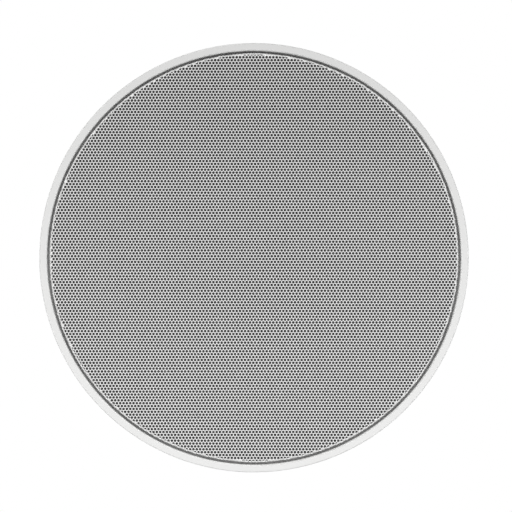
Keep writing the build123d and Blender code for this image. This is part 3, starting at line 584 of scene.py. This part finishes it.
def board_group():
    """Circuit board: areas of copper under the lacquer, right-angled and paler than the lines between. The
    tone is copper + 0.5 x fibre - 0.7."""
    tree, given, result, place = look_group("board_look", ("Areas",))
    part = add(tree, "SeparateXYZ", {0: place}).outputs
    plan = add(tree, "CombineXYZ", {0: part[0], 1: part[2]}).outputs[0]
    nearest, second = (
        add(
            tree,
            "TexVoronoi",
            {"Vector": plan, "Scale": given["Areas"]},
            voronoi_dimensions="2D",
            distance="CHEBYCHEV",
            feature=rank,
        ).outputs
        for rank in ("F1", "F2")
    )
    edge = maths(tree, "SUBTRACT", second["Distance"], nearest["Distance"])
    inside = add(tree, "MapRange", {0: edge, 1: 0.05, 2: 0.09}).outputs[0]
    own = add(tree, "SeparateXYZ", {0: nearest["Color"]}).outputs[0]
    copper = maths(tree, "MULTIPLY", inside, maths(tree, "GREATER_THAN", own, 0.3))
    fibre = noise(tree, place, 400.0, 3.0)
    tone = maths(tree, "SUBTRACT", maths(tree, "MULTIPLY_ADD", fibre, 0.5, copper), 0.7)
    return finish_group(tree, given, result, tone, maths(tree, "MULTIPLY_ADD", fibre, 0.2, copper))


MOULDED, TURNED, WOUND, WOVEN, BOARD = (
    moulded_group(), turned_group(), wound_group(), woven_group(), board_group()
)


MATERIALS = {}


def material(name, group, colour, look, shader, bump):
    """A Principled material whose colour, roughness and bump come from a look group, kept by its slot. The
    bump is its strength and its distance in millimetres."""
    made = bpy.data.materials.new(name)
    made.use_nodes = True
    tree = made.node_tree
    surface = tree.nodes["Principled BSDF"]
    for socket, value in shader.items():
        surface.inputs[socket].default_value = value
    effect = tree.nodes.new("ShaderNodeGroup")
    effect.node_tree = group
    effect.inputs["Colour"].default_value = (*colour, 1.0)
    for socket, value in look.items():
        effect.inputs[socket].default_value = value
    strength, distance = bump
    relief = add(
        tree, "Bump", {"Height": effect.outputs["Height"], "Strength": strength, "Distance": distance * MM}
    )
    tree.links.new(effect.outputs["Colour"], surface.inputs["Base Color"])
    tree.links.new(effect.outputs["Roughness"], surface.inputs["Roughness"])
    tree.links.new(relief.outputs["Normal"], surface.inputs["Normal"])
    MATERIALS[name] = made


def plastic(name, colour, rough, shade=0.06, patch=22.0, grain=1500.0, bump=(0.15, 0.04), **shader):
    """Moulded plastic, rubber or paint."""
    look = {"Shade": shade, "Roughness": rough, "Spread": 0.15, "Patch": patch, "Grain": grain}
    values = {socket.replace("_", " "): value for socket, value in shader.items()}
    material(name, MOULDED, colour, look, values, bump)


def metal(name, colour, rough, rings=1800.0, shade=0.10):
    """Turned or ground metal."""
    look = {"Shade": shade, "Roughness": rough, "Spread": 0.25, "Rings": rings}
    material(name, TURNED, colour, look, {"Metallic": 1.0}, (0.25, 0.03))


def cloth(name, colour, rough, pitch, shade=0.5):
    """Woven cloth, its thread pitch in millimetres."""
    look = {"Shade": shade, "Roughness": rough, "Spread": 0.15, "Pitch": pitch * MM}
    material(name, WOVEN, colour, look, {}, (0.5, 0.08))


plastic("frame_plastic", (0.77, 0.77, 0.765), 0.42, shade=0.02, grain=2200.0, bump=(0.12, 0.03))
plastic("grille_paint", (0.90, 0.90, 0.895), 0.5, shade=0.02, grain=2600.0, bump=(0.2, 0.03))
cloth("scrim_cloth", (0.06, 0.06, 0.06), 0.9, pitch=0.35)
metal("nickel_plate", (0.66, 0.64, 0.60), 0.25)
plastic("magnet_rubber", (0.24, 0.24, 0.24), 0.75, shade=0.3, grain=1200.0, bump=(0.4, 0.06))
plastic("basket_paint", (0.022, 0.022, 0.024), 0.38, shade=0.25, grain=1800.0, bump=(0.3, 0.05))
plastic("gasket_foam", (0.03, 0.03, 0.03), 0.95, shade=0.5, grain=2500.0, bump=(0.8, 0.15))
plastic("surround_rubber", (0.025, 0.025, 0.026), 0.55, shade=0.2, grain=900.0)
plastic("cone_plastic", (0.035, 0.035, 0.038), 0.45, shade=0.35, grain=1200.0, bump=(0.3, 0.05))
metal("former_foil", (0.78, 0.74, 0.66), 0.3)
# Its colour is darkened between the wire's turns as painted shade
material(
    "copper_wire",
    WOUND,
    (0.60, 0.24, 0.10),
    look={"Shade": 0.3, "Roughness": 0.35, "Spread": 0.1, "Pitch": 0.35 * MM},
    shader={"Metallic": 0.75, "Coat Weight": 0.5, "Coat Roughness": 0.2},
    bump=(0.5, 0.08),
)
cloth("spider_cloth", (0.55, 0.34, 0.10), 0.7, pitch=0.6, shade=0.45)
metal("zinc_steel", (0.50, 0.51, 0.53), 0.34, shade=0.2)
plastic("black_steel", (0.03, 0.03, 0.032), 0.35, shade=0.3, Metallic=0.6)
plastic("ferrite", (0.055, 0.055, 0.06), 0.5, shade=0.4, patch=60.0, grain=900.0, bump=(0.35, 0.08))
metal("post_aluminium", (0.72, 0.72, 0.73), 0.3, rings=2400.0)
plastic("black_plastic", (0.02, 0.02, 0.021), 0.4, shade=0.25)
cloth("dome_silk", (0.03, 0.03, 0.034), 0.6, pitch=0.3)
material(
    "board_laminate",
    BOARD,
    (0.018, 0.11, 0.04),
    look={"Shade": 0.7, "Roughness": 0.35, "Spread": 0.1, "Areas": 150.0},
    shader={"Coat Weight": 0.3},
    bump=(0.3, 0.04),
)
plastic("capacitor_film", (0.55, 0.36, 0.05), 0.3, shade=0.12, patch=90.0, Coat_Weight=0.4)
plastic("resistor_ceramic", (0.62, 0.60, 0.54), 0.85, shade=0.2, patch=120.0, bump=(0.5, 0.12))
plastic("red_plastic", (0.50, 0.02, 0.02), 0.32, shade=0.12, patch=80.0)
plastic("button_black_plastic", (0.022, 0.022, 0.023), 0.32, shade=0.25, patch=80.0)
metal("spring_steel", (0.70, 0.66, 0.56), 0.3)
metal("bush_brass", (0.72, 0.52, 0.22), 0.3)
plastic("dog_plastic", (0.03, 0.03, 0.03), 0.55, shade=0.3, grain=1000.0, bump=(0.35, 0.06))


def dress(piece, slot):
    """Gives a piece the material of a slot as its only one."""
    piece.data.materials.clear()
    piece.data.materials.append(MATERIALS[slot])


for sector_number in range(SECTORS):
    dress(perforated_sector(sector_number), "grille_paint")
dress(scrim(), "scrim_cloth")
dress(winding(), "copper_wire")
dress(solder_joints(), "zinc_steel")
for terminal in ("red", "black"):
    dress(leaf_spring(terminal), "spring_steel")
soft_ring("surround_sector", "surround", "surround_rubber", surround_outline(), SURROUND_SECTORS)
soft_ring("spider_sector", "spider", "spider_cloth", spider_outline(), SPIDER_SECTORS)
for clamp in range(1, 5):
    screw_low, screw_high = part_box(f"clamp_screw_{clamp}")
    screw_x, screw_y = (screw_low[0] + screw_high[0]) / 2, (screw_low[1] + screw_high[1]) / 2
    clamp_thread = thread(
        f"clamp_thread_{clamp}",
        screw_x,
        screw_y,
        CLAMP_SHANK_RADIUS,
        CLAMP_THREAD_LOW,
        screw_high[2] - CLAMP_THREAD_END,
        CLAMP_LEAD,
        CLAMP_RIDGE,
        f"screw_{clamp}",
    )
    dress(clamp_thread, "zinc_steel")
post_thread = thread(
    "post_thread",
    0,
    0,
    POST_RADIUS,
    POST_THREAD_LOW,
    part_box("tweeter_post")[1][2] - POST_THREAD_END,
    POST_LEAD,
    POST_RIDGE,
    "frame",
)
dress(post_thread, "post_aluminium")
for subpart in frame["record"]["subparts"]:
    dress(frame["nodes"][subpart["node"]], subpart["material_slot"])


def seen_directly(tree):
    """1 for rays from the camera, from a reflection or through glass, and 0 for those that only light."""
    path = add(tree, "LightPath").outputs
    seen = maths(tree, "ADD", path["Is Camera Ray"], path["Is Glossy Ray"])
    return maths(tree, "MINIMUM", maths(tree, "ADD", seen, path["Is Transmission Ray"]), 1.0)


def floor():
    """A pale floor around the bezel, at the height where its rounded edge starts, with a round opening
    under the object so that the camera below sees the front. To the camera and in reflections it is the
    white background from below, and above it fades to the same white with distance."""
    level = cad_box[0][2] + BEZEL_ROUNDING
    rings = turned_rings([FLOOR_OPENING, FLOOR_MIDDLE, FLOOR_EDGE], [level] * 3, FLOOR_AROUND)
    points, (quads, *_) = skin(rings, False)
    mesh = bpy.data.meshes.new("floor")
    mesh.from_pydata(points.tolist(), [], quads[:, ::-1].tolist())
    made = bpy.data.objects.new("floor", mesh)
    bpy.context.scene.collection.objects.link(made)
    paint = bpy.data.materials.new("floor_paint")
    paint.use_nodes = True
    tree = paint.node_tree
    surface = tree.nodes["Principled BSDF"]
    surface.inputs["Roughness"].default_value = 0.9
    place = tree.nodes.new("ShaderNodeTexCoord").outputs["Object"]
    patches = noise(tree, place, 3.0, 2.0)
    shade = add(tree, "MapRange", {0: patches, 3: FLOOR_SHADES[0], 4: FLOOR_SHADES[1]}).outputs[0]
    tree.links.new(shade, surface.inputs["Base Color"])
    white = add(tree, "Emission", {"Color": (1, 1, 1, 1), "Strength": 1.0})
    under = add(tree, "NewGeometry").outputs["Backfacing"]
    seen = seen_directly(tree)
    away = add(tree, "VectorMath", {0: place}, operation="LENGTH").outputs["Value"]
    far = add(
        tree, "MapRange", {0: away, 1: WHITE_FROM, 2: WHITE_AT}, interpolation_type="SMOOTHSTEP"
    ).outputs[0]
    fade = maths(tree, "MULTIPLY", maths(tree, "MAXIMUM", under, far), seen)
    mix = add(tree, "MixShader", {0: fade, 1: surface.outputs[0], 2: white.outputs[0]})
    tree.links.new(mix.outputs[0], tree.nodes["Material Output"].inputs["Surface"])
    made.data.materials.append(paint)


def soft_light(name, place, target, width, height, power):
    """A rectangular area light that looks at a point, its width level."""
    lamp = bpy.data.lights.new(name, "AREA")
    lamp.shape = "RECTANGLE"
    lamp.size = width
    lamp.size_y = height
    lamp.energy = power
    made = bpy.data.objects.new(name, lamp)
    made.location = place
    toward = np.array(target) - np.array(place)
    made.rotation_euler = (
        math.acos(-toward[2] / np.linalg.norm(toward)), 0.0, math.atan2(toward[1], toward[0]) - math.pi / 2
    )
    made.visible_camera = False
    made.visible_glossy = False
    bpy.context.scene.collection.objects.link(made)


def far_light(name, place, spread, power):
    """Parallel light that comes from the direction of a point, spread by an angle in degrees."""
    lamp = bpy.data.lights.new(name, "SUN")
    lamp.angle = math.radians(spread)
    lamp.energy = power
    made = bpy.data.objects.new(name, lamp)
    made.location = place
    distance = np.linalg.norm(place)
    made.rotation_euler = (
        math.acos(place[2] / distance), 0.0, math.atan2(-place[1], -place[0]) - math.pi / 2
    )
    made.visible_glossy = False
    bpy.context.scene.collection.objects.link(made)


def sky():
    """White where the camera or a reflection sees it, and a soft grey light for everything else."""
    world = bpy.data.worlds.new("sky")
    world.use_nodes = True
    tree = world.node_tree
    plain = tree.nodes["Background"]
    plain.inputs["Color"].default_value = (1, 1, 1, 1)
    plain.inputs["Strength"].default_value = SKY_STRENGTH
    white = add(tree, "Background", {"Color": (1, 1, 1, 1), "Strength": 1.0})
    mix = add(tree, "MixShader", {0: seen_directly(tree), 1: plain.outputs[0], 2: white.outputs[0]})
    tree.links.new(mix.outputs[0], tree.nodes["World Output"].inputs["Surface"])
    bpy.context.scene.world = world


floor()
sky()
soft_light("front_key", (0.0, 0.12, -0.40), target=(0, 0.05, 0), width=1.2, height=0.2, power=1.9)
far_light("front_far", (0.0, -1.3, -1.0), spread=20.0, power=1.3)
soft_light("back_key", (1.4, 0.1, 1.2), target=(0, 0, 0.03), width=0.5, height=0.5, power=21.0)
soft_light("back_fill", (-1.1, -0.9, 1.0), target=(0, 0, 0.03), width=1.2, height=1.2, power=5.0)

# The camera looks straight up at the grille, with -Y at the top of the picture
lens = bpy.data.cameras.new("camera")
lens.lens = 135.0
lens.sensor_width = 36.0
lens.clip_start = 0.05
camera = bpy.data.objects.new("camera", lens)
camera.location = CAMERA_PLACE
camera.rotation_euler = (math.pi, 0.0, 0.0)
bpy.context.scene.collection.objects.link(camera)
bpy.context.scene.camera = camera
bpy.context.scene.view_settings.view_transform = "Standard"
